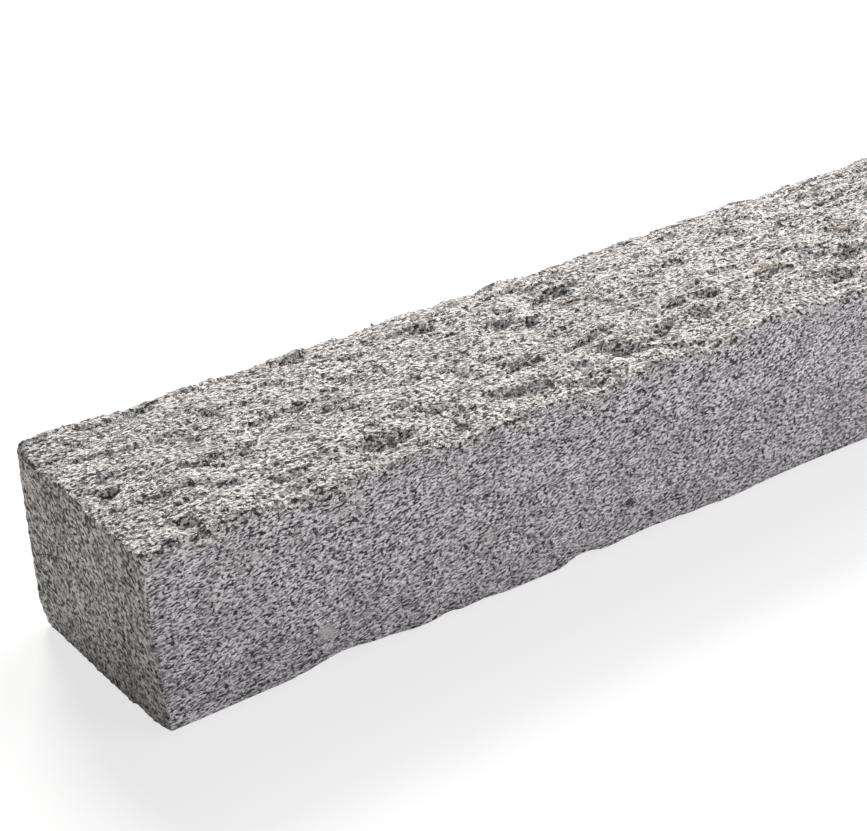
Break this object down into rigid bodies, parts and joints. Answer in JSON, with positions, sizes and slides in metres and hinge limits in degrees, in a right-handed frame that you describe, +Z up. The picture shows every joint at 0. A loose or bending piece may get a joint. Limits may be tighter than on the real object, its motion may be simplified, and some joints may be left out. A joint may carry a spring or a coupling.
{
  "type": "granite kerb stone",
  "caption": "Straight granite kerb bar of near-rectangular section with a rough split top, a flat front face, a split back and a flat bed, laid end to end to edge paths, beds and drives.",
  "frame": {"origin": "middle of the bar's box on the plane of the bed", "axes": "+X along the bar, away from the end that the picture shows; -Y out of the flat front face; +Z up, out of the rough split top"},
  "size_m": [0.8988, 0.1498, 0.1235],
  "materials": {
    "white_grey_granite": "raw split granite, matt, white-grey feldspar and grey quartz with black mica specks"
  },
  "bodies": {
    "root": {"kerb_stone": "white_grey_granite"}
  },
  "joints": []
}
